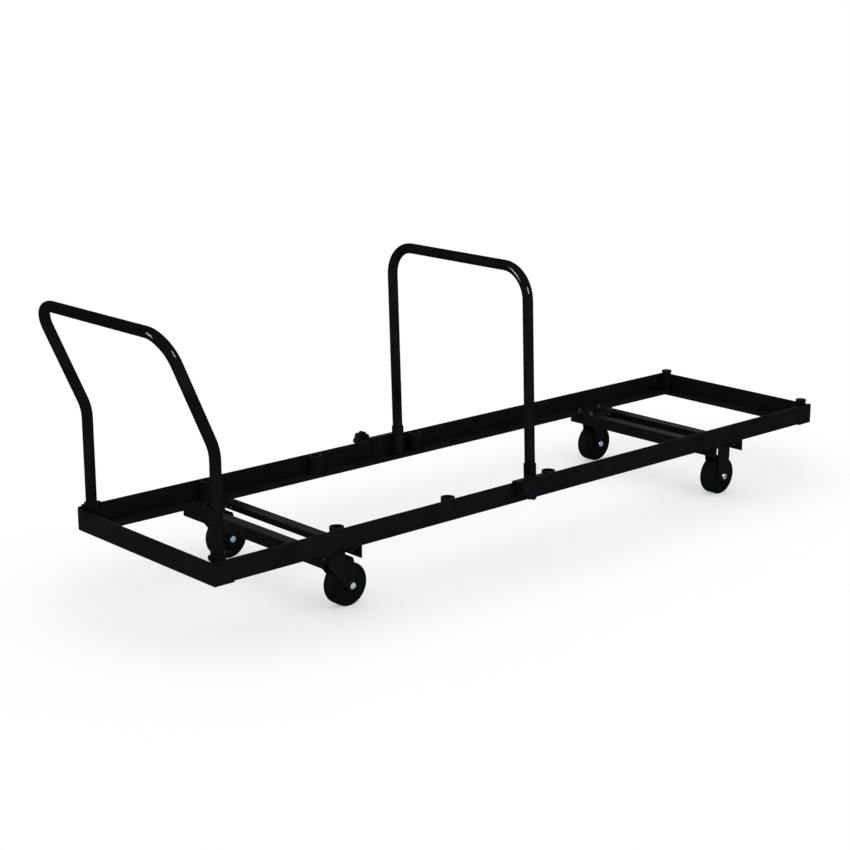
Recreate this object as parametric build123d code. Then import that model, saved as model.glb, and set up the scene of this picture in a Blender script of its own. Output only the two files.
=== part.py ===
from build123d import *
import math
import os

# Folding chair dolly: an angle-iron tray on four casters, with a push handle and a sliding middle hoop.
# X runs along the tray, from the handle end (-X) to the front end (+X). Y runs across it: the near side is -Y
# and the far side is +Y. Z is up from the floor. All sizes are in millimetres.

# Tray of angle iron
frame_length = 2035.0
frame_width = 529.0
rail_leg = 50.8
rail_thickness = 3.2
crossbar_leg = 30.0
crossbar_thickness = 3.0
crossbar_setback = 1.0
toe_radius = 1.0
weld_gap = 0.3

# Round tube and the pipe sockets that take it
tube_diameter = 25.4
tube_wall = 1.8
socket_clearance = 0.6
socket_wall = 3.4
rail_socket_length = 48.0
rail_socket_pitch = 333.0
rail_socket_pairs = 3

# Capped posts in the corners of the front end
post_diameter = 26.7
post_wall = 1.8
post_length = 55.0
post_gap = 3.5
cap_height = 4.5
cap_lip = 1.2
cap_stem_length = 10.0
cap_clearance = 0.1

# Push handle, bolted through its corner sockets
handle_rise = 280.0
handle_lean = 24.0
handle_reach = 279.0
handle_bend_radius = 110.0
handle_corner_radius = 65.0
handle_bolt_gap = 1.2
handle_thread_end = 10.8
corner_socket_lip = 7.0
corner_socket_gap = 5.0

# Middle hoop and the sleeves that take its legs
hoop_step = 59.0
hoop_height = 550.0
hoop_lean = 2.0
hoop_corner_radius = 75.0
sleeve_wall = 2.0
sleeve_length = 74.0
sleeve_floor = 3.0

# Clamps that carry the sleeves along the rails
clamp_lift = 1.0
clamp_travel = 4.0
slide_clearance = 0.3
saddle_thickness = 4.0
saddle_ahead = 16.0
saddle_behind = 78.0
saddle_skirt = 35.0
screw_diameter = 8.0
screw_setback = 11.0
screw_clearance = 0.1
screw_tip_diameter = 5.0
screw_tip_length = 2.5
pad_diameter = 16.0
pad_thickness = 5.0
pad_drop = 3.0
pad_chamfer = 1.0
weld_nut_height = 6.8
knob_standoff = 12.0
knob_diameter = 45.0
knob_thickness = 18.0
knob_hub_diameter = 22.0
knob_hub_height = 6.0
knob_lobes = 7
knob_flute_radius = 8.0
knob_flute_depth = 3.0
knob_edge_radius = 2.5
knob_stud_depth = 14.0

# Caster plates and their places under the tray
swivel_setback = 344.5
rigid_setback = 353.5
plate_length = 104.8
plate_width = 79.4
plate_thickness = 3.0
plate_corner_radius = 9.0
plate_margin = 1.1
mount_edge_x = 12.4
mount_edge_y = 17.45

# Wheels and axles
wheel_diameter = 101.6
wheel_width = 34.0
wheel_edge_radius = 5.0
hub_diameter = 34.0
hub_proud = 2.6
hub_side_clearance = 0.4
axle_diameter = 9.5
axle_clearance = 0.1
bushing_wall = 3.1
running_clearance = 0.05

# Forks
fork_thickness = 3.0
fork_bend_radius = 5.0
fork_tip_radius = 14.0
rigid_fork_width = 46.0
swivel_trail = 38.0
swivel_fork_front = 24.0
swivel_fork_back = 45.0
swivel_fork_shoulder = 7.0
rib_radius = 2.5
rib_lead = 8.0
rib_gap = 1.0

# Swivel heads: a fork hangs on a kingpin and runs on a ring of balls
wheel_gap = 6.0
kingpin_diameter = 12.0
kingpin_head_rim = 4.0
kingpin_head_height = 4.4
kingpin_cap_height = 2.0
swivel_head_height = 23.8
race_diameter = 62.0
race_wall = 3.0
race_gap = 3.0
race_edge_radius = 2.0
ball_diameter = 7.4
ball_clearance = 0.3
ball_spacing = 1.5

# Hex fasteners
bolt_diameter = 7.9
bolt_hole_clearance = 0.4
bolt_head_height = 5.3
bolt_nut_height = 6.6
axle_head_height = 6.0
axle_nut_height = 8.0
thread_end = 3.0
thread_clearance = 0.1
hex_wall = 2.4
hex_chamfer = 0.8
fillet_limit = 0.45

# Heights that follow, from the floor up
wheel_radius = wheel_diameter / 2
crown_base = wheel_diameter + wheel_gap + kingpin_head_height
crown_top = crown_base + fork_thickness
plate_base = crown_top + swivel_head_height
plate_top = plate_base + plate_thickness
rail_base = plate_top + crossbar_thickness
flange_top = rail_base + rail_thickness
rail_top = rail_base + rail_leg
end_rail_base = rail_base - rail_thickness
end_rail_top = end_rail_base + rail_leg

# Places that follow, from the middle of the tray out
half_length = frame_length / 2
half_width = frame_width / 2
inner_face_x = half_length - rail_thickness
inner_face_y = half_width - rail_thickness
socket_bore = tube_diameter + 2 * socket_clearance
socket_diameter = socket_bore + 2 * socket_wall
socket_y = inner_face_y - weld_gap - socket_diameter / 2
handle_x = -(inner_face_x - corner_socket_gap - socket_diameter / 2)
post_x = inner_face_x - post_gap - post_diameter / 2
post_y = inner_face_y - post_gap - post_diameter / 2
swivel_x = swivel_setback - half_length
rigid_x = half_length - rigid_setback
caster_y = half_width - plate_width / 2
mount_x = plate_length / 2 - mount_edge_x
mount_y = plate_width / 2 - mount_edge_y
bolt_hole = bolt_diameter + 2 * bolt_hole_clearance
bolt_flats = bolt_diameter + 2 * hex_wall
handle_top_x = handle_x - handle_reach * math.sin(math.radians(handle_lean))
handle_top_z = flange_top + handle_rise + handle_reach * math.cos(math.radians(handle_lean))
centre_shift = -(half_length + handle_top_x - tube_diameter / 2) / 2

ends = {"handle": -1, "front": 1}
caster_places = {"handle": swivel_x, "front": rigid_x}
sides = {"near": -1, "far": 1}
upright = (Align.CENTER, Align.CENTER, Align.MIN)
nodes = {}


def add(name, *solids):
    """File one piece, or a group of alike pieces, under a node's name."""
    nodes[name] = list(solids)


def rod(diameter, low, high, x=0.0, y=0.0):
    """Upright round bar between two heights."""
    return Pos(x, y, low) * Cylinder(diameter / 2, high - low, align=upright)


def pipe(outside, inside, low, high, x=0.0, y=0.0):
    """Upright round tube between two heights."""
    return rod(outside, low, high, x, y) - rod(inside, low, high, x, y)


def along_x(x, y, z, towards):
    """Place whose local Z points along +X or -X."""
    return Plane(origin=(x, y, z), x_dir=(0, 1, 0), z_dir=(towards, 0, 0)).location


def along_y(x, y, z, towards):
    """Place whose local Z points along +Y or -Y."""
    return Plane(origin=(x, y, z), x_dir=(1, 0, 0), z_dir=(0, towards, 0)).location


def angle_bar(start, inward, upward, length, leg, thickness):
    """Angle iron with its heel at start: one leg lies along inward, the other along upward."""
    corners = [(0, 0), (leg, 0), (leg, thickness), (thickness, thickness), (thickness, leg), (0, leg)]
    section = Polygon(*corners, align=None)
    ends_of_legs = [v for v in section.vertices() if max(v.X, v.Y) > leg - toe_radius]
    toes = [v for v in ends_of_legs if min(v.X, v.Y) > toe_radius]
    section = fillet(toes, min(toe_radius, fillet_limit * thickness))
    along = Vector(*inward).cross(Vector(*upward))
    return extrude(Plane(origin=start, x_dir=inward, z_dir=along) * section, amount=length)


def bent_tube(points, radii):
    """Round tube along a path of straight runs and arcs."""
    path = FilletPolyline(*points, radius=radii)
    across = Plane(origin=path @ 0, z_dir=path % 0)
    outside = sweep(across * Circle(tube_diameter / 2), path=path)
    inside = sweep(across * Circle(tube_diameter / 2 - tube_wall), path=path)
    return outside - inside


def hexagon(flats, height):
    """Hexagonal block standing on XY, with two flats square to Y and its top corners turned off."""
    block = extrude(RegularPolygon(flats / 2, 6, major_radius=False, rotation=30), amount=height)
    turned = Cylinder(flats / math.sqrt(3), height, align=upright)
    turned = chamfer(turned.edges().group_by(Axis.Z)[-1], hex_chamfer)
    return block & turned


def hex_bolt(diameter, length, head_height):
    """Bolt with the underside of its head on XY and its shank along -Z."""
    return hexagon(diameter + 2 * hex_wall, head_height) + rod(diameter, -length, 0)


def hex_nut(diameter, height):
    """Nut hanging from XY along -Z, with its turned side down."""
    thread = rod(diameter + 2 * thread_clearance, -height, 2 * height)
    return Rot(180, 0, 0) * (hexagon(diameter + 2 * hex_wall, height) - thread)


# Bolts that hold the casters: four to a plate, the outer two through the rail's flange as well
mount_points = [
    (caster_x + i * mount_x, side * (caster_y + j * mount_y))
    for caster_x in caster_places.values()
    for side in sides.values()
    for i in (-1, 1)
    for j in (-1, 1)
]
mount_holes = [rod(bolt_hole, 0, rail_top, x, y) for x, y in mount_points]
mount_tip = plate_base - bolt_nut_height - thread_end
flange_edge = half_width - rail_leg
mount_bolts = []
mount_nuts = []
for x, y in mount_points:
    seat = flange_top if abs(y) + bolt_flats / math.sqrt(3) > flange_edge else rail_base
    mount_bolts.append(Pos(x, y, seat) * hex_bolt(bolt_diameter, seat - mount_tip, bolt_head_height))
    mount_nuts.append(Pos(x, y, plate_base) * hex_nut(bolt_diameter, bolt_nut_height))
add("caster_bolts", *mount_bolts)
add("caster_nuts", *mount_nuts)

# Side rails stand between the end rails, and their flanges lap over the end rails' flanges
for side_name, side in sides.items():
    heel = (side * inner_face_x, side * half_width, rail_base)
    rail = angle_bar(heel, (0, -side, 0), (0, 0, 1), 2 * inner_face_x, rail_leg, rail_thickness)
    add(f"side_rail_{side_name}", rail - mount_holes)
for end_name, end in ends.items():
    heel = (end * half_length, -end * half_width, end_rail_base)
    rail = angle_bar(heel, (-end, 0, 0), (0, 0, 1), frame_width, rail_leg, rail_thickness)
    add(f"end_rail_{end_name}", rail)

# Crossbars: each pair lies under the rails, with the legs hanging down on both sides of the caster plates
crossbar_reach = plate_length / 2 + plate_margin + crossbar_thickness
crossbar_length = frame_width - 2 * crossbar_setback
for end_name, end in ends.items():
    for bar_name, away in (("outer", end), ("inner", -end)):
        heel = (caster_places[end_name] + away * crossbar_reach, away * crossbar_length / 2, rail_base)
        bar = angle_bar(heel, (-away, 0, 0), (0, 0, -1), crossbar_length, crossbar_leg, crossbar_thickness)
        add(f"crossbar_{end_name}_{bar_name}", bar - mount_holes)

# Spare sockets along the rails, the first pair over the swivel casters
rail_socket_places = [swivel_x + i * rail_socket_pitch for i in range(rail_socket_pairs)]
rail_socket_top = flange_top + rail_socket_length
for number, x in enumerate(rail_socket_places, 1):
    for side_name, side in sides.items():
        socket = pipe(socket_diameter, socket_bore, flange_top, rail_socket_top, x, side * socket_y)
        add(f"rail_socket_{number}_{side_name}", socket)

# Push handle in its corner sockets, with bolts that clear the end rail; the far bolt is turned end for end
bolt_z = end_rail_top + handle_bolt_gap + bolt_flats / 2
corner_socket_top = bolt_z + corner_socket_lip
bend_z = flange_top + handle_rise
handle_path = [
    (handle_x, -socket_y, flange_top),
    (handle_x, -socket_y, bend_z),
    (handle_top_x, -socket_y, handle_top_z),
    (handle_top_x, socket_y, handle_top_z),
    (handle_x, socket_y, bend_z),
    (handle_x, socket_y, flange_top),
]
handle_radii = [handle_bend_radius, handle_corner_radius, handle_corner_radius, handle_bend_radius]
handle = bent_tube(handle_path, handle_radii)
handle_bolt_length = socket_diameter + bolt_nut_height + handle_thread_end
handle_bolts = []
handle_nuts = []
for side_name, side in sides.items():
    bolt_line = along_x(handle_x, side * socket_y, bolt_z, side)
    cross_hole = bolt_line * Cylinder(bolt_hole / 2, 2 * socket_diameter)
    socket = pipe(socket_diameter, socket_bore, flange_top, corner_socket_top, handle_x, side * socket_y)
    add(f"handle_socket_{side_name}", socket - cross_hole)
    handle = handle - cross_hole
    flat_down = bolt_line * Rot(0, 0, 30)
    bolt = hex_bolt(bolt_diameter, handle_bolt_length, bolt_head_height)
    nut = hex_nut(bolt_diameter, bolt_nut_height)
    handle_bolts.append(flat_down * Pos(0, 0, socket_diameter / 2) * bolt)
    handle_nuts.append(flat_down * Pos(0, 0, -socket_diameter / 2) * nut)
add("push_handle", handle)
add("handle_bolts", *handle_bolts)
add("handle_nuts", *handle_nuts)

# Corner posts at the front end, each closed by a cap with a stem
post_top = flange_top + post_length
post_bore = post_diameter - 2 * post_wall
post_caps = []
for side_name, side in sides.items():
    post = pipe(post_diameter, post_bore, flange_top, post_top, post_x, side * post_y)
    add(f"corner_post_{side_name}", post)
    lid_diameter = post_diameter + 2 * cap_lip
    lid = rod(lid_diameter, post_top, post_top + cap_height, post_x, side * post_y)
    lid = fillet(lid.edges().group_by(Axis.Z)[-1], fillet_limit * cap_height)
    stem_diameter = post_bore - 2 * cap_clearance
    post_caps.append(lid + rod(stem_diameter, post_top - cap_stem_length, post_top, post_x, side * post_y))
add("post_caps", *post_caps)

# Clamps: each saddle straddles a rail's upright leg, with a sleeve inside the tray and a screw outside it
hoop_x = rail_socket_places[-1] - hoop_step
saddle_back = hoop_x - saddle_behind
saddle_front = hoop_x + saddle_ahead
saddle_base = flange_top + clamp_lift
bridge_base = rail_top + slide_clearance
bridge_top = bridge_base + saddle_thickness
inner_cheek_y = inner_face_y - slide_clearance
cheek_face_y = inner_cheek_y - saddle_thickness
outer_cheek_y = half_width + pad_thickness + clamp_travel
nut_seat_y = outer_cheek_y + saddle_thickness
knob_seat_y = nut_seat_y + weld_nut_height + knob_standoff
sleeve_diameter = socket_bore + 2 * sleeve_wall
sleeve_y = cheek_face_y - weld_gap - sleeve_diameter / 2
sleeve_base = saddle_base + sleeve_diameter / 2 * math.sin(math.radians(hoop_lean))
lean = Pos(hoop_x, 0, sleeve_base) * Rot(0, -hoop_lean, 0)
screw_x = saddle_back + screw_setback
screw_z = rail_top - pad_drop - pad_diameter / 2
screw_hole = screw_diameter + 2 * screw_clearance


def saddle_plate(inner_y, outer_y, low, high):
    """Flat stretch of the near saddle, as long as the saddle."""
    corner = (Align.MIN, Align.MAX, Align.MIN)
    block = Box(saddle_front - saddle_back, outer_y - inner_y, high - low, align=corner)
    return Pos(saddle_back, -inner_y, low) * block


def clamp_saddle():
    """Near saddle, bent from one plate."""
    saddle = saddle_plate(cheek_face_y, inner_cheek_y, saddle_base, bridge_top)
    saddle = saddle + saddle_plate(cheek_face_y, nut_seat_y, bridge_base, bridge_top)
    saddle = saddle + saddle_plate(outer_cheek_y, nut_seat_y, bridge_base - saddle_skirt, bridge_top)
    bends = saddle.edges().filter_by(Axis.X).group_by(Axis.Z)[-1]
    saddle = fillet(bends, saddle_thickness)
    hole = rod(screw_hole, outer_cheek_y - clamp_travel, 2 * nut_seat_y)
    return saddle - along_y(screw_x, 0, screw_z, -1) * hole


def clamp_pad():
    """Pressure pad lying on XY, with a blind hole for the screw's tip."""
    pad = rod(pad_diameter, 0, pad_thickness)
    pad = chamfer(pad.edges().group_by(Axis.Z)[-1], pad_chamfer)
    tip_hole = screw_tip_diameter + 2 * screw_clearance
    return pad - rod(tip_hole, pad_thickness - screw_tip_length, 2 * pad_thickness)


def clamp_screw():
    """Screw along Z, from its tip in the pad to its end in the knob."""
    end = knob_seat_y + knob_stud_depth - half_width
    tip = rod(screw_tip_diameter, pad_thickness - screw_tip_length, pad_thickness)
    return tip + rod(screw_diameter, pad_thickness, end)


def clamp_knob():
    """Lobed hand knob standing on XY, with a blind hole for the screw."""
    grip = rod(knob_diameter, knob_hub_height, knob_hub_height + knob_thickness)
    flute_x = knob_diameter / 2 + knob_flute_radius - knob_flute_depth
    for lobe in range(knob_lobes):
        flute = rod(2 * knob_flute_radius, 0, 2 * knob_thickness + knob_hub_height, flute_x)
        grip = grip - Rot(0, 0, lobe * 360 / knob_lobes) * flute
    rims = grip.edges().group_by(Axis.Z)
    grip = fillet(rims[-1] + rims[0], min(knob_edge_radius, fillet_limit * knob_thickness))
    hub = rod(knob_hub_diameter, 0, knob_hub_height)
    return grip + hub - rod(screw_hole, -knob_stud_depth, knob_stud_depth)


weld_nuts = []
for side_name, side in sides.items():
    saddle = clamp_saddle()
    add(f"clamp_saddle_{side_name}", saddle if side < 0 else mirror(saddle, about=Plane.XZ))
    sleeve = rod(sleeve_diameter, 0, sleeve_length, 0, side * sleeve_y)
    sleeve = sleeve - rod(socket_bore, sleeve_floor, 2 * sleeve_length, 0, side * sleeve_y)
    add(f"hoop_sleeve_{side_name}", lean * sleeve)
    pad_place = along_y(screw_x, side * half_width, screw_z, side)
    add(f"clamp_pad_{side_name}", pad_place * clamp_pad())
    add(f"clamp_screw_{side_name}", pad_place * clamp_screw())
    add(f"clamp_knob_{side_name}", along_y(screw_x, side * knob_seat_y, screw_z, side) * clamp_knob())
    nut_place = along_y(screw_x, side * nut_seat_y, screw_z, -side)
    weld_nuts.append(nut_place * hex_nut(screw_diameter, weld_nut_height))
add("clamp_weld_nuts", *weld_nuts)

# Middle hoop, standing on the floors of the sleeves
hoop_path = [
    (0, -sleeve_y, sleeve_floor),
    (0, -sleeve_y, hoop_height),
    (0, sleeve_y, hoop_height),
    (0, sleeve_y, sleeve_floor),
]
add("middle_hoop", lean * bent_tube(hoop_path, [hoop_corner_radius, hoop_corner_radius]))

# Pieces that swivel and rigid casters share, about an upright axis at X = Y = 0
hub_length = wheel_width + 2 * hub_proud
fork_gap = hub_length + 2 * hub_side_clearance
fork_outside = fork_gap + 2 * fork_thickness
axle_bore = axle_diameter + 2 * axle_clearance
bushing_diameter = axle_bore + 2 * bushing_wall
axle_length = fork_outside + axle_nut_height + thread_end


def caster_plate():
    """Top plate with its bolt holes."""
    plate = Pos(0, 0, plate_base) * extrude(
        RectangleRounded(plate_length, plate_width, plate_corner_radius), amount=plate_thickness)
    return plate - [rod(bolt_hole, 0, rail_top, i * mount_x, j * mount_y) for i in (-1, 1) for j in (-1, 1)]


def channel_section(width, height, radius):
    """Upright outline of a channel that is closed at the top, with rounded top corners."""
    outline = Pos(0, height / 2) * Rectangle(width, height)
    return fillet(outline.vertices().group_by(Axis.Y)[-1], radius)


def fork(top, trail, front, back, shoulder):
    """Pressed fork: a channel over the wheel, with legs that narrow to a round tip at the axle."""
    outside = channel_section(fork_outside, top, fork_bend_radius)
    inside_radius = max(fork_bend_radius - fork_thickness, toe_radius)
    inside = channel_section(fork_gap, top - fork_thickness, inside_radius)
    across = Plane(origin=(-front - trail - top, 0, 0), x_dir=(0, 1, 0), z_dir=(1, 0, 0))
    channel = extrude(across * (outside - inside), amount=2 * (front + trail + top + back))
    tip = Pos(trail, wheel_radius) * Circle(fork_tip_radius)
    head = Polygon((-front, top - shoulder), (back, top - shoulder), (back, top), (-front, top), align=None)
    leg = make_hull([*tip.edges(), *head.edges()])
    beside = Plane(origin=(0, fork_outside, 0), x_dir=(1, 0, 0), z_dir=(0, -1, 0))
    pressed = channel & extrude(beside * leg, amount=2 * fork_outside)
    return pressed - along_y(trail, 0, wheel_radius, -1) * Cylinder(axle_bore / 2, 2 * fork_outside)


def wheel_set(trail):
    """Wheel, bushing, axle bolt and axle nut, with the bolt's head on the near side."""
    tread = Cylinder(wheel_radius, wheel_width)
    tread_edges = tread.edges().filter_by(GeomType.CIRCLE)
    tread = fillet(tread_edges, min(wheel_edge_radius, fillet_limit * wheel_width))
    wheel = tread + Cylinder(hub_diameter / 2, hub_length)
    wheel = wheel - Cylinder(bushing_diameter / 2 + running_clearance, 2 * hub_length)
    bushing = Cylinder(bushing_diameter / 2, fork_gap) - Cylinder(axle_bore / 2, 2 * fork_gap)
    bolt = Pos(0, 0, fork_outside / 2) * hex_bolt(axle_diameter, axle_length, axle_head_height)
    nut = Pos(0, 0, -fork_outside / 2) * hex_nut(axle_diameter, axle_nut_height)
    axle_line = along_y(trail, 0, wheel_radius, -1)
    return [axle_line * piece for piece in (wheel, bushing, bolt, nut)]


# Swivel casters under the handle end
race_bore = race_diameter - 2 * race_wall
ball_room = ball_diameter + 2 * ball_clearance
boss_diameter = race_bore - 2 * ball_room
ball_circle = boss_diameter + ball_room
ball_count = int(math.pi * ball_circle / (ball_diameter + ball_spacing))
pin_hole = rod(kingpin_diameter + 2 * running_clearance, 0, rail_top)


def swivel_plate():
    """Plate with a stepped boss: the balls run round its lower step and bear on its upper step."""
    lower = rod(boss_diameter, crown_top + race_gap, plate_base)
    upper = rod(race_bore - 2 * ball_clearance, crown_top + ball_room, plate_base)
    return caster_plate() + lower + upper - pin_hole


def swivel_fork():
    """Fork with a cup-shaped crown for the balls, and a pressed rib above each end of the axle."""
    pressed = fork(crown_top, swivel_trail, swivel_fork_front, swivel_fork_back, swivel_fork_shoulder)
    crown = rod(race_diameter, crown_base, plate_base - race_gap)
    outer_edges = crown.edges().filter_by(GeomType.CIRCLE)
    crown = fillet(outer_edges, min(race_edge_radius, fillet_limit * race_wall))
    crown = crown - rod(race_bore, crown_top, plate_top)
    rib_base = wheel_radius + axle_diameter / 2 + 2 * hex_wall + rib_gap
    rib_top = crown_top - fork_bend_radius
    rib_x = swivel_trail - rib_lead
    ribs = [rod(2 * rib_radius, rib_base, rib_top, rib_x, j * fork_outside / 2) for j in (-1, 1)]
    inner_half = Pos(swivel_trail, 0, 0) * Box(wheel_diameter, fork_gap + fork_thickness, 2 * crown_top)
    return pressed + crown + [rib - inner_half for rib in ribs] - pin_hole


def kingpin():
    """Pin with a flat head under the crown and a domed cap on the plate."""
    head_diameter = kingpin_diameter + 2 * kingpin_head_rim
    shank = rod(kingpin_diameter, crown_base - kingpin_head_height, plate_top)
    head = rod(head_diameter, crown_base - kingpin_head_height, crown_base)
    cap = rod(head_diameter, plate_top, plate_top + kingpin_cap_height)
    cap = fillet(cap.edges().group_by(Axis.Z)[-1], 2 * fillet_limit * kingpin_cap_height)
    return shank + head + cap


def race_balls():
    """Ring of balls on the crown."""
    ball_z = crown_top + ball_room / 2
    ball = Pos(ball_circle / 2, 0, ball_z) * Sphere(ball_diameter / 2)
    return [Rot(0, 0, i * 360 / ball_count) * ball for i in range(ball_count)]


kingpins = []
balls = []
for side_name, side in sides.items():
    place = Pos(swivel_x, side * caster_y, 0)
    wheel, bushing, bolt, nut = wheel_set(swivel_trail)
    add(f"swivel_plate_{side_name}", place * swivel_plate())
    add(f"swivel_fork_{side_name}", place * swivel_fork())
    add(f"swivel_wheel_{side_name}", place * wheel)
    add(f"swivel_bushing_{side_name}", place * bushing)
    add(f"swivel_axle_{side_name}", place * bolt)
    add(f"swivel_axle_nut_{side_name}", place * nut)
    kingpins.append(place * kingpin())
    balls.extend(place * ball for ball in race_balls())
add("kingpins", *kingpins)
add("swivel_balls", *balls)

# Rigid casters under the front end
rigid_bushings = []
rigid_axles = []
rigid_axle_nuts = []
for side_name, side in sides.items():
    place = Pos(rigid_x, side * caster_y, 0)
    half_leg = rigid_fork_width / 2
    shoulder = plate_base - wheel_diameter
    wheel, bushing, bolt, nut = wheel_set(0)
    add(f"rigid_plate_{side_name}", place * caster_plate())
    add(f"rigid_fork_{side_name}", place * fork(plate_base, 0, half_leg, half_leg, shoulder))
    add(f"rigid_wheel_{side_name}", place * wheel)
    rigid_bushings.append(place * bushing)
    rigid_axles.append(place * bolt)
    rigid_axle_nuts.append(place * nut)
add("rigid_bushings", *rigid_bushings)
add("rigid_axles", *rigid_axles)
add("rigid_axle_nuts", *rigid_axle_nuts)

# Every piece moves so that the origin lies on the floor under the middle of the whole dolly
os.makedirs("parts", exist_ok=True)
for name, solids in nodes.items():
    placed = [Pos(centre_shift, 0, 0) * solid for solid in solids]
    export_step(placed[0] if len(placed) == 1 else Compound(children=placed), f"parts/{name}.step")
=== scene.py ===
import math
import bmesh
import bpy
from mathutils import Matrix, Vector


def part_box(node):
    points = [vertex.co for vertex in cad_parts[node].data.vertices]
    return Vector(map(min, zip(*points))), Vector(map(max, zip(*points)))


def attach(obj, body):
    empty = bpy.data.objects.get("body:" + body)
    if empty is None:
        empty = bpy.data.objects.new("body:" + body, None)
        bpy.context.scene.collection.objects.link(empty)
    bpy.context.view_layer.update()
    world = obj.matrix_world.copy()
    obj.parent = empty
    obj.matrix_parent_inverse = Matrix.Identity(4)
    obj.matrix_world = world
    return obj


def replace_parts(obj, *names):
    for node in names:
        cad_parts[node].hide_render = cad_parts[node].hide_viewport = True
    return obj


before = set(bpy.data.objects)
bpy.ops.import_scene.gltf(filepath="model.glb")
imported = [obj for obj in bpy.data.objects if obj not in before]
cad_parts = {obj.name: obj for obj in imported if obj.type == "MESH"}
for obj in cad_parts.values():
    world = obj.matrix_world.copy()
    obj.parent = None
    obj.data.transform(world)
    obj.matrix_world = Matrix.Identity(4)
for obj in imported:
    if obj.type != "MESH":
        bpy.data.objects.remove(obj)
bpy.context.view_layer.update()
scene = bpy.context.scene

# Lengths are in metres, unless a comment says otherwise

# Camera, fitted to the tray's edges in the photograph: angles in degrees, lens and sensor in millimetres
CAMERA_PLACE = (-3.07806, -3.2585, 1.4396)
CAMERA_YAW = 47.959
CAMERA_PITCH = -14.628
CAMERA_ROLL = 0.07
CAMERA_LENS = 78.404
CAMERA_SENSOR = 36.0
CAMERA_REACH = 400.0

# Noise patterns of the finishes: cells per metre, levels of detail, and any stretch along the axes
COAT_TONE = (14.0, 4.0)
COAT_GLOSS = (45.0, 5.0)
COAT_PEEL = (620.0, 2.0)
COAT_WAVE = (60.0, 2.0)
PLATE_TONE = (90.0, 3.0)
PLATE_GLOSS = (300.0, 4.0, (1.0, 1.0, 6.0))
PLATE_LINES = (900.0, 3.0, (1.0, 1.0, 5.0))
MOULD_TONE = (40.0, 5.0)
MOULD_GLOSS = (120.0, 4.0)
MOULD_WAVE = (70.0, 2.0)
GRAIN_DETAIL = 2.0

# Stretch of a noise's values over which a finish changes
NOISE_LOW = 0.3
NOISE_HIGH = 0.7

# Shades of the powder coat at values of its noise, as shares of its depth of tone
COAT_SHADES = [(0.3, (0.66, 0.70, 0.77)), (0.55, (0.92, 0.97, 1.06)), (0.75, (1.26, 1.25, 1.34))]

# Bumps of the finishes: heights, and pairs of strength and height
PEEL_HEIGHT = 0.0003
WAVE_HEIGHT = 0.001
PLATE_BUMP = (0.12, 0.0002)
GRAIN_BUMP = (0.12, 0.0002)
MOULD_BUMP = (0.08, 0.0006)

# Rounding of the sheared and rolled edges of the steel
EDGE_ROUND = 0.0003
EDGE_SEGMENTS = 2
EDGE_ANGLE = math.radians(60)
SHARP_ANGLE = math.radians(35)

# Weld beads: ripples of one length along a bead, with its size at their low points and at its tips as shares
BEAD_RADIUS = 0.0022
BEAD_SIDES = 8
BEAD_STEP = 0.0004
BEAD_LEAST_STEPS = 8
BEAD_RIPPLE = 0.0016
BEAD_LOW = 0.82
BEAD_TIP = 0.25

# A line's direction is taken over this share of it to each side, and counts as upright from this steepness
DIRECTION_STEP = 0.001
UPRIGHT = 0.9

# Places of the beads: round a foot, up a corner of the tray, and to each side of a sleeve's middle
FOOT_SWEEP = math.radians(230)
FOOT_BEAD_OUT = BEAD_RADIUS / 3
RAIL_THICKNESS = 0.0032
SLEEVE_BEAD_OFFSET = 0.0080

# Threads: the depth, and the plain stretch at each end, are shares of the pitch
THREAD_DEPTH = 0.45
THREAD_RUNOUT = 0.25
THREAD_STEPS = 8
TURNED_SIDES = 48

# Clamp screws
SCREW_PITCH = 0.00125
SCREW_TIP_RADIUS = 0.0025
SCREW_TIP_LENGTH = 0.0025

# Handle bolts
BOLT_PITCH = 0.0014
BOLT_DIAMETER = 0.0079
BOLT_PLAIN = 0.030
HEAD_FLATS = 0.0127
HEAD_HEIGHT = 0.0053
HEX_CHAMFER = 0.0008

# Ridges moulded on the wheels' walls, at shares of the wheel's radius; the hub stands proud of the walls
WALL_RIDGES = (0.86, 0.44)
RIDGE_RADIUS = 0.0011
RIDGE_STEPS = 96
HUB_PROUD = 0.0026

# Floor: pale near the dolly, where it takes the shadows, and plain white far off; the white share is a part
# of what the camera and the gloss see
FLOOR_HALF = 150.0
FLOOR_COLOUR = (0.935, 0.93, 0.925, 1.0)
FLOOR_WHITE = 0.45
SHADOW_REACH = (1.7, 3.4)

# Even light of the room, and the white that the camera and the gloss see there
ROOM_COLOUR = (0.96, 0.98, 1.0, 1.0)
ROOM_STRENGTH = 0.72
WHITE = (1.0, 1.0, 1.0, 1.0)

SIDES = {"near": -1, "far": 1}
ENDS = {"handle": -1, "front": 1}


# Materials

def new_finish(name, metallic=0.0, specular=0.5):
    """Material with its shader, ready for textures."""
    material = bpy.data.materials.new(name)
    material.use_nodes = True
    surface = material.node_tree.nodes["Principled BSDF"]
    surface.inputs["Metallic"].default_value = metallic
    surface.inputs["Specular IOR Level"].default_value = specular
    return material, material.node_tree, surface


def noise(tree, scale, detail, stretch=(1.0, 1.0, 1.0)):
    """Noise over the piece's own coordinates, with stretch as cells per unit along each axis."""
    place = tree.nodes.new("ShaderNodeTexCoord")
    mapping = tree.nodes.new("ShaderNodeMapping")
    mapping.inputs["Scale"].default_value = stretch
    texture = tree.nodes.new("ShaderNodeTexNoise")
    texture.inputs["Scale"].default_value = scale
    texture.inputs["Detail"].default_value = detail
    tree.links.new(place.outputs["Object"], mapping.inputs["Vector"])
    tree.links.new(mapping.outputs["Vector"], texture.inputs["Vector"])
    return texture.outputs["Fac"]


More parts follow.
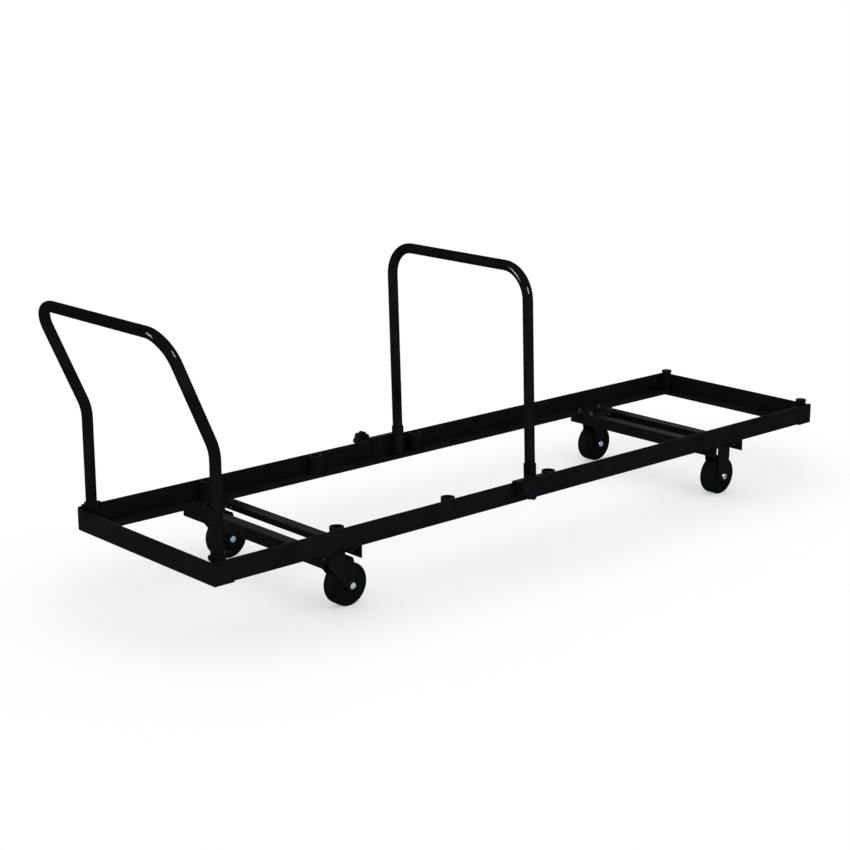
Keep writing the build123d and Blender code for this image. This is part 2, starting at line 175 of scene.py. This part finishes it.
def tint(tree, value, target, *stops):
    """Colour a socket by a value, through stops of (position, colour)."""
    ramp = tree.nodes.new("ShaderNodeValToRGB")
    while len(ramp.color_ramp.elements) < len(stops):
        ramp.color_ramp.elements.new(0.5)
    for element, (position, colour) in zip(ramp.color_ramp.elements, stops):
        element.position = position
        element.color = (*colour, 1.0)
    tree.links.new(value, ramp.inputs["Fac"])
    tree.links.new(ramp.outputs["Color"], target)


def spread(tree, value, target, low, high):
    """Lead a noise value to a socket, stretched to run from low to high."""
    reach = tree.nodes.new("ShaderNodeMapRange")
    reach.inputs["From Min"].default_value = NOISE_LOW
    reach.inputs["From Max"].default_value = NOISE_HIGH
    reach.inputs["To Min"].default_value = low
    reach.inputs["To Max"].default_value = high
    tree.links.new(value, reach.inputs["Value"])
    tree.links.new(reach.outputs["Result"], target)


def bump(tree, surface, *layers):
    """Raise the surface by layers of (height value, strength, distance)."""
    normal = None
    for height, strength, distance in layers:
        node = tree.nodes.new("ShaderNodeBump")
        node.inputs["Strength"].default_value = strength
        node.inputs["Distance"].default_value = distance
        tree.links.new(height, node.inputs["Height"])
        if normal is not None:
            tree.links.new(normal, node.inputs["Normal"])
        normal = node.outputs["Normal"]
    tree.links.new(normal, surface.inputs["Normal"])


def powder_coat(name, depth, specular, roughness, peel, wave, metallic=0.0, edge=1.0):
    """Black coat or oxide: broad unevenness of tone about a depth, patches of gloss, orange peel and waves.

    Roughness is a pair of limits, peel and wave are strengths, and edge dims the gloss at flat angles.
    """
    material, tree, surface = new_finish(name, specular=specular, metallic=metallic)
    surface.inputs["Specular Tint"].default_value = (edge, edge, edge, 1.0)
    tone = noise(tree, *COAT_TONE)
    stops = [(position, [depth * part for part in shade]) for position, shade in COAT_SHADES]
    tint(tree, tone, surface.inputs["Base Color"], *stops)
    spread(tree, noise(tree, *COAT_GLOSS), surface.inputs["Roughness"], *roughness)
    peel_layer = (noise(tree, *COAT_PEEL), peel, PEEL_HEIGHT)
    wave_layer = (noise(tree, *COAT_WAVE), wave, WAVE_HEIGHT)
    bump(tree, surface, peel_layer, wave_layer)
    return material


def zinc(name, bright, dull, roughness):
    """Zinc plate or bare steel: faint bands of tone, with fine drawing lines."""
    material, tree, surface = new_finish(name, metallic=1.0)
    stops = [(NOISE_LOW, dull), (NOISE_HIGH, bright)]
    tint(tree, noise(tree, *PLATE_TONE), surface.inputs["Base Color"], *stops)
    spread(tree, noise(tree, *PLATE_GLOSS), surface.inputs["Roughness"], *roughness)
    bump(tree, surface, (noise(tree, *PLATE_LINES), *PLATE_BUMP))
    return material


def moulded(name, specular, dark, pale, roughness, grain):
    """Moulded rubber or plastic: mottled tone, and a fine grain from the mould, in cells per metre."""
    material, tree, surface = new_finish(name, specular=specular)
    stops = [(NOISE_LOW, dark), (NOISE_HIGH, pale)]
    tint(tree, noise(tree, *MOULD_TONE), surface.inputs["Base Color"], *stops)
    spread(tree, noise(tree, *MOULD_GLOSS), surface.inputs["Roughness"], *roughness)
    grain_layer = (noise(tree, grain, GRAIN_DETAIL), *GRAIN_BUMP)
    wave_layer = (noise(tree, *MOULD_WAVE), *MOULD_BUMP)
    bump(tree, surface, grain_layer, wave_layer)
    return material


flat_coat = powder_coat("angle_iron_coat", depth=0.0068, specular=0.002, roughness=(0.16, 0.24),
                        peel=0.08, wave=0.05)
tube_coat = powder_coat("tube_coat", depth=0.0072, specular=0.0, roughness=(0.04, 0.065),
                        peel=0.015, wave=0.015, metallic=0.30, edge=0.12)
caster_coat = powder_coat("caster_coat", depth=0.0070, specular=0.002, roughness=(0.18, 0.26),
                          peel=0.08, wave=0.05)
bolt_black = powder_coat("bolt_black", depth=0.0044, specular=0.003, roughness=(0.14, 0.22),
                         peel=0.08, wave=0.05)
bright_zinc = zinc("bright_zinc", bright=(0.44, 0.50, 0.57), dull=(0.15, 0.18, 0.22),
                   roughness=(0.18, 0.36))
black_zinc = zinc("black_zinc", bright=(0.085, 0.092, 0.100), dull=(0.018, 0.020, 0.022),
                  roughness=(0.16, 0.30))
plain_steel = zinc("turned_steel", bright=(0.58, 0.58, 0.60), dull=(0.44, 0.44, 0.45),
                   roughness=(0.22, 0.42))
ball_steel = zinc("ball_steel", bright=(0.84, 0.84, 0.86), dull=(0.74, 0.74, 0.76),
                  roughness=(0.12, 0.22))
wheel_rubber = moulded("wheel_rubber", specular=0.004, dark=(0.0024, 0.0034, 0.0036),
                       pale=(0.0040, 0.0054, 0.0056), roughness=(0.58, 0.74), grain=1400.0)
knob_plastic = moulded("knob_plastic", specular=0.006, dark=(0.0034, 0.0032, 0.0052),
                       pale=(0.0054, 0.0052, 0.0082), roughness=(0.44, 0.58), grain=1800.0)
cap_plastic = moulded("cap_plastic", specular=0.004, dark=(0.0030, 0.0032, 0.0036),
                      pale=(0.0050, 0.0052, 0.0058), roughness=(0.40, 0.54), grain=1800.0)
black_oxide = powder_coat("black_oxide", depth=0.0040, specular=0.02, roughness=(0.26, 0.40),
                          peel=0.14, wave=0.05)

# Each finish is a material and the slot that it stands for
finishes = {
    "flat": (flat_coat, "black_powder_coat"),
    "tube": (tube_coat, "black_powder_coat"),
    "caster": (caster_coat, "black_powder_coat"),
    "zinc": (bright_zinc, "bright_zinc"),
    "dark": (black_zinc, "black_zinc"),
    "bolt": (bolt_black, "black_zinc"),
    "steel": (plain_steel, "plain_steel"),
    "ball": (ball_steel, "ball_steel"),
    "rubber": (wheel_rubber, "black_rubber"),
    "knob": (knob_plastic, "black_plastic"),
    "cap": (cap_plastic, "black_plastic"),
    "oxide": (black_oxide, "black_steel"),
}

# Finish of each CAD node, by the first of these words that its name holds
node_words = [
    ("wheel", "rubber"), ("bushing", "steel"), ("kingpin", "steel"), ("ball", "ball"), ("axle", "zinc"),
    ("caster_bolts", "dark"), ("caster_nuts", "bolt"), ("handle_bolts", "bolt"), ("handle_nuts", "bolt"),
    ("knob", "knob"), ("caps", "cap"), ("screw", "oxide"), ("pad", "oxide"), ("weld_nuts", "oxide"),
    ("fork", "caster"), ("plate", "caster"), ("push_handle", "tube"), ("hoop", "tube"), ("", "flat"),
]


def dress(piece, finish):
    """Give a piece the material of one finish."""
    material, slot = finishes[finish]
    piece.data.materials.clear()
    piece.data.materials.append(material)


for name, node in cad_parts.items():
    dress(node, next(finish for word, finish in node_words if word in name))


# Pieces made of meshes

def new_piece(name, mesh, finish, body):
    """Turn a bmesh into a piece that is smooth but for its sharp edges, and rides on a body."""
    data = bpy.data.meshes.new(name)
    bmesh.ops.recalc_face_normals(mesh, faces=mesh.faces)
    mesh.to_mesh(data)
    mesh.free()
    data.shade_smooth()
    data.set_sharp_from_angle(angle=SHARP_ANGLE)
    piece = bpy.data.objects.new(name, data)
    scene.collection.objects.link(piece)
    dress(piece, finish)
    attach(piece, body)
    return piece


def join_rings(mesh, rings):
    """Skin a row of rings of vertices, and close both ends unless the last ring is the first again."""
    for ring, after in zip(rings, rings[1:]):
        for i in range(len(ring)):
            k = (i + 1) % len(ring)
            mesh.faces.new((ring[i], ring[k], after[k], after[i]))
    if rings[0] is not rings[-1]:
        mesh.faces.new(reversed(rings[0]))
        mesh.faces.new(rings[-1])


def bead(mesh, line):
    """Rippled weld bead along a line, given as a function of a share from 0 to 1 and the line's length."""
    point, length = line
    count = max(BEAD_LEAST_STEPS, round(length / BEAD_STEP))
    turns = [2 * math.pi * k / BEAD_SIDES for k in range(BEAD_SIDES)]
    rings = []
    for i in range(count + 1):
        share = i / count
        here = point(share)
        before = point(max(share - DIRECTION_STEP, 0))
        after = point(min(share + DIRECTION_STEP, 1))
        ahead = (after - before).normalized()
        across = ahead.orthogonal().normalized()
        if abs(ahead.z) < UPRIGHT:
            across = ahead.cross(Vector((0, 0, 1))).normalized()
        over = ahead.cross(across)
        ripple = BEAD_LOW + (1 - BEAD_LOW) * abs(math.sin(math.pi * share * length / BEAD_RIPPLE))
        taper = min(1.0, BEAD_TIP + min(share, 1 - share) * length / BEAD_RADIUS)
        size = BEAD_RADIUS * ripple * taper
        outward = [math.cos(turn) * across + math.sin(turn) * over for turn in turns]
        rings.append([mesh.verts.new(here + size * direction) for direction in outward])
    join_rings(mesh, rings)


def straight(start, end):
    """Straight line for a bead."""
    start, end = Vector(start), Vector(end)
    return (lambda share: start.lerp(end, share)), (end - start).length


def arc(centre, radius, middle, sweep):
    """Level arc for a bead, about a centre, with its middle and sweep as angles."""
    centre = Vector(centre)

    def point(share):
        angle = middle + sweep * (share - 0.5)
        return centre + radius * Vector((math.cos(angle), math.sin(angle), 0))

    return point, radius * abs(sweep)


def turned(mesh, base, axis, across, rings):
    """Closed form about an axis, from rings that give a radius and a height at each angle from across."""
    over = axis.cross(across)
    rows = []
    for ring in rings:
        row = []
        for i in range(TURNED_SIDES):
            angle = 2 * math.pi * i / TURNED_SIDES
            radius, height = ring(angle)
            outward = math.cos(angle) * across + math.sin(angle) * over
            row.append(mesh.verts.new(base + height * axis + radius * outward))
        rows.append(row)
    join_rings(mesh, rows)


def plain_ring(radius, height):
    """Level ring of one radius."""
    return lambda angle: (radius, height)


def thread_rings(crest, pitch, low, high):
    """Rings of a V thread between two heights."""

    def ring_at(height):
        def ring(angle):
            turn = height / pitch - angle / (2 * math.pi)
            return crest - THREAD_DEPTH * pitch * abs(2 * (turn % 1.0) - 1), height
        return ring

    count = round((high - low) / pitch * THREAD_STEPS)
    return [ring_at(low + (high - low) * i / count) for i in range(count + 1)]


def hex_rings(flats, height):
    """Rings of a hex head from its top to its underside at height 0, with the top corners turned off."""
    corner = flats / math.sqrt(3)

    def reach(angle):
        return flats / 2 / math.cos(angle % (math.pi / 3) - math.pi / 6)

    def top(angle):
        return min(reach(angle), corner - HEX_CHAMFER), height

    def shoulder(angle):
        return reach(angle), height - max(0.0, reach(angle) - corner + HEX_CHAMFER)

    def underside(angle):
        return reach(angle), 0.0

    return [top, shoulder, underside]


def ridge(mesh, centre, radius):
    """Round ridge in a circle about a line along Y."""
    rings = []
    for i in range(RIDGE_STEPS):
        angle = 2 * math.pi * i / RIDGE_STEPS
        outward = Vector((math.cos(angle), 0, math.sin(angle)))
        ring = []
        for k in range(BEAD_SIDES):
            turn = 2 * math.pi * k / BEAD_SIDES
            offset = RIDGE_RADIUS * (math.cos(turn) * outward + math.sin(turn) * Vector((0, 1, 0)))
            ring.append(mesh.verts.new(centre + radius * outward + offset))
        rings.append(ring)
    join_rings(mesh, [*rings, rings[0]])


# Rounded edges on the angle iron and on the bent and pressed plates
for name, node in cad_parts.items():
    if any(word in name for word in ("rail_near", "rail_far", "end_rail", "crossbar", "saddle", "plate")):
        rounding = node.modifiers.new("rounded_edges", "BEVEL")
        rounding.width = EDGE_ROUND
        rounding.segments = EDGE_SEGMENTS
        rounding.limit_method = "ANGLE"
        rounding.angle_limit = EDGE_ANGLE

# Threaded screws of the clamps, in place of the plain rods, from the tip outwards
screw_tip = [plain_ring(SCREW_TIP_RADIUS, 0.0), plain_ring(SCREW_TIP_RADIUS, SCREW_TIP_LENGTH)]
screw_runout = THREAD_RUNOUT * SCREW_PITCH
for side_name, side in SIDES.items():
    low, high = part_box(f"clamp_screw_{side_name}")
    middle = (low + high) / 2
    crest = (high.z - low.z) / 2
    core = crest - THREAD_DEPTH * SCREW_PITCH
    length = high.y - low.y
    base = Vector((middle.x, high.y if side < 0 else low.y, middle.z))
    thread = thread_rings(crest, SCREW_PITCH, SCREW_TIP_LENGTH + screw_runout, length - screw_runout)
    rings = [*screw_tip, plain_ring(core, SCREW_TIP_LENGTH), *thread, plain_ring(core, length)]
    screw = bmesh.new()
    turned(screw, base, Vector((0, side, 0)), Vector((0, 0, 1)), rings)
    piece = new_piece(f"threaded_screw_{side_name}", screw, "oxide", f"knob_{side_name}")
    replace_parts(piece, f"clamp_screw_{side_name}")

# Threaded bolts of the handle, in place of the plain ones; the far bolt is turned end for end
low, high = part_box("handle_bolts")
bolt_z = (low.z + high.z) / 2
bolt_crest = BOLT_DIAMETER / 2
bolt_core = bolt_crest - THREAD_DEPTH * BOLT_PITCH
bolt_runout = THREAD_RUNOUT * BOLT_PITCH
bolts = bmesh.new()
for side_name, side in SIDES.items():
    socket_low, socket_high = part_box(f"handle_socket_{side_name}")
    socket_middle = (socket_low + socket_high) / 2
    seat_x = socket_high.x if side > 0 else socket_low.x
    length = seat_x - low.x if side > 0 else high.x - seat_x
    base = Vector((seat_x, socket_middle.y, bolt_z))
    rings = hex_rings(HEAD_FLATS, HEAD_HEIGHT)
    rings += [plain_ring(bolt_crest, 0.0), plain_ring(bolt_crest, -BOLT_PLAIN)]
    rings += thread_rings(bolt_crest, BOLT_PITCH, -BOLT_PLAIN - bolt_runout, bolt_runout - length)
    rings += [plain_ring(bolt_core, -length)]
    turned(bolts, base, Vector((side, 0, 0)), Vector((0, 1, 0)), rings)
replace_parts(new_piece("threaded_handle_bolts", bolts, "bolt", "frame"), "handle_bolts")

# Ridges on both walls of each wheel
for kind in ("swivel", "rigid"):
    for side_name in SIDES:
        low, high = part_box(f"{kind}_wheel_{side_name}")
        middle = (low + high) / 2
        walls = bmesh.new()
        for wall_y in (low.y + HUB_PROUD, high.y - HUB_PROUD):
            for share in WALL_RIDGES:
                ridge(walls, Vector((middle.x, wall_y, middle.z)), share * (high.z - low.z) / 2)
        new_piece(f"{kind}_wheel_ridges_{side_name}", walls, "rubber", f"wheel_{kind}_{side_name}")

# Beads round the feet of the sockets and posts, open towards the rail's leg
feet = bmesh.new()
foot_names = [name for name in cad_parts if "socket" in name or name.startswith("corner_post")]
for name in foot_names:
    low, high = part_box(name)
    middle = (low + high) / 2
    inward = -math.pi / 2 if middle.y > 0 else math.pi / 2
    foot_centre = (middle.x, middle.y, low.z + FOOT_BEAD_OUT)
    foot_radius = (high.x - low.x) / 2 + FOOT_BEAD_OUT
    bead(feet, arc(foot_centre, foot_radius, inward, FOOT_SWEEP))
new_piece("socket_welds", feet, "flat", "frame")

# Beads up the inside corners of the tray
corners = bmesh.new()
for side_name, side in SIDES.items():
    low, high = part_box(f"side_rail_{side_name}")
    inner_y = high.y - RAIL_THICKNESS if side > 0 else low.y + RAIL_THICKNESS
    for end in ENDS.values():
        end_x = high.x if end > 0 else low.x
        start = (end_x, inner_y, low.z + RAIL_THICKNESS)
        stop = (end_x, inner_y, high.z - BEAD_RADIUS)
        bead(corners, straight(start, stop))
new_piece("corner_welds", corners, "flat", "frame")

# Beads where the crossbars meet the edges of the rails' flanges
bars = bmesh.new()
for end_name in ENDS:
    for bar_name in ("outer", "inner"):
        bar_low, bar_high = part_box(f"crossbar_{end_name}_{bar_name}")
        for side_name, side in SIDES.items():
            rail_low, rail_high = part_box(f"side_rail_{side_name}")
            edge_y = rail_low.y if side > 0 else rail_high.y
            start = (bar_low.x + BEAD_RADIUS, edge_y, bar_high.z)
            stop = (bar_high.x - BEAD_RADIUS, edge_y, bar_high.z)
            bead(bars, straight(start, stop))
new_piece("crossbar_welds", bars, "flat", "frame")

# Beads that hold the hoop's sleeves to the saddles, leaning with the sleeves
sleeves = bmesh.new()
for side_name, side in SIDES.items():
    low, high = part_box(f"hoop_sleeve_{side_name}")
    saddle_low, saddle_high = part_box(f"clamp_saddle_{side_name}")
    cheek_y = saddle_low.y if side > 0 else saddle_high.y
    radius = (high.y - low.y) / 2
    foot_x = high.x - radius
    head_x = low.x + radius
    share = (saddle_high.z - low.z) / (high.z - low.z)
    rim_x = foot_x + (head_x - foot_x) * share
    for offset in (-SLEEVE_BEAD_OFFSET, SLEEVE_BEAD_OFFSET):
        start = (foot_x + offset, cheek_y, low.z + BEAD_RADIUS)
        stop = (rim_x + offset, cheek_y, saddle_high.z - 2 * BEAD_RADIUS)
        bead(sleeves, straight(start, stop))
new_piece("sleeve_welds", sleeves, "flat", "hoop")

# Camera
yaw, pitch, roll = (math.radians(angle) for angle in (CAMERA_YAW, CAMERA_PITCH, CAMERA_ROLL))
ahead = Vector((math.cos(pitch) * math.cos(yaw), math.cos(pitch) * math.sin(yaw), math.sin(pitch)))
level = ahead.cross(Vector((0, 0, 1))).normalized()
rise = level.cross(ahead)
right = math.cos(roll) * level - math.sin(roll) * rise
upward = math.sin(roll) * level + math.cos(roll) * rise
aim = Matrix((right, upward, -ahead)).transposed()
camera = bpy.data.objects.new("camera", bpy.data.cameras.new("camera"))
camera.data.lens = CAMERA_LENS
camera.data.sensor_width = CAMERA_SENSOR
camera.data.clip_end = CAMERA_REACH
camera.matrix_world = Matrix.Translation(CAMERA_PLACE) @ aim.to_4x4()
scene.collection.objects.link(camera)
scene.camera = camera


# Floor and light

def seen_share(tree):
    """One for what the camera sees, also in gloss and glass, and zero for light that falls on things."""
    paths = tree.nodes.new("ShaderNodeLightPath")
    share = paths.outputs["Is Camera Ray"]
    for ray in ("Is Glossy Ray", "Is Transmission Ray"):
        either = tree.nodes.new("ShaderNodeMath")
        either.operation = "MAXIMUM"
        tree.links.new(share, either.inputs[0])
        tree.links.new(paths.outputs[ray], either.inputs[1])
        share = either.outputs["Value"]
    return share


def mix_shaders(tree, share, first, second, output):
    """Show one shader's output, and another's by a share."""
    blend = tree.nodes.new("ShaderNodeMixShader")
    tree.links.new(share, blend.inputs["Fac"])
    tree.links.new(first, blend.inputs[1])
    tree.links.new(second, blend.inputs[2])
    tree.links.new(blend.outputs["Shader"], tree.nodes[output].inputs["Surface"])


def soft_lamp(name, place, aim, width, height, power, gloss):
    """Rectangular lamp that points at a spot, and shows either in gloss alone or not in gloss."""
    lamp = bpy.data.lights.new(name, "AREA")
    lamp.shape = "RECTANGLE"
    lamp.size = width
    lamp.size_y = height
    lamp.energy = power
    holder = bpy.data.objects.new(name, lamp)
    holder.location = place
    holder.rotation_euler = (Vector(aim) - Vector(place)).to_track_quat("-Z", "Y").to_euler()
    holder.visible_diffuse = not gloss
    holder.visible_glossy = gloss
    scene.collection.objects.link(holder)


floor_mesh = bpy.data.meshes.new("floor")
floor_corners = [(i * FLOOR_HALF, j * FLOOR_HALF, 0) for i, j in ((-1, -1), (1, -1), (1, 1), (-1, 1))]
floor_mesh.from_pydata(floor_corners, [], [(0, 1, 2, 3)])
floor = bpy.data.objects.new("floor", floor_mesh)
scene.collection.objects.link(floor)

# The floor's white grows with the distance from the middle of the dolly
paper, paper_tree, lit = new_finish("paper", specular=0.0)
lit.inputs["Base Color"].default_value = FLOOR_COLOUR
lit.inputs["Roughness"].default_value = 1.0
glow = paper_tree.nodes.new("ShaderNodeEmission")
glow.inputs["Strength"].default_value = 1.0
floor_place = paper_tree.nodes.new("ShaderNodeTexCoord")
away = paper_tree.nodes.new("ShaderNodeVectorMath")
away.operation = "LENGTH"
fade = paper_tree.nodes.new("ShaderNodeMapRange")
fade.interpolation_type = "SMOOTHSTEP"
fade.inputs["From Min"].default_value = SHADOW_REACH[0]
fade.inputs["From Max"].default_value = SHADOW_REACH[1]
fade.inputs["To Min"].default_value = FLOOR_WHITE
white_share = paper_tree.nodes.new("ShaderNodeMath")
white_share.operation = "MULTIPLY"
paper_tree.links.new(floor_place.outputs["Object"], away.inputs[0])
paper_tree.links.new(away.outputs["Value"], fade.inputs["Value"])
paper_tree.links.new(seen_share(paper_tree), white_share.inputs[0])
paper_tree.links.new(fade.outputs["Result"], white_share.inputs[1])
mix_shaders(paper_tree, white_share.outputs["Value"], lit.outputs["BSDF"], glow.outputs["Emission"],
            "Material Output")
floor.data.materials.append(paper)

# Even light from all sides of the room, which itself looks white
room = bpy.data.worlds.new("room")
scene.world = room
room.use_nodes = True
even = room.node_tree.nodes["Background"]
even.inputs["Color"].default_value = ROOM_COLOUR
even.inputs["Strength"].default_value = ROOM_STRENGTH
backdrop = room.node_tree.nodes.new("ShaderNodeBackground")
backdrop.inputs["Color"].default_value = WHITE
mix_shaders(room.node_tree, seen_share(room.node_tree), even.outputs["Background"],
            backdrop.outputs["Background"], "World Output")

# A wide soft ceiling that gives the light, and panels that only gloss shows
soft_lamp("ceiling", place=(0.0, 0.0, 4.5), aim=(0.0, 0.0, 0.0),
          width=14.0, height=14.0, power=320.0, gloss=False)
soft_lamp("left_window", place=(-5.80, 2.46, 1.81), aim=(-0.55, -0.2, 0.67),
          width=1.9, height=2.4, power=2800.0, gloss=True)
soft_lamp("right_window", place=(-0.51, -2.53, 1.38), aim=(-0.5, -0.25, 0.64),
          width=0.85, height=0.85, power=440.0, gloss=True)
soft_lamp("back_panel", place=(4.5, 5.0, 2.3), aim=(0.0, 0.0, 0.1),
          width=6.0, height=2.0, power=18.0, gloss=True)

scene.view_settings.view_transform = "Standard"
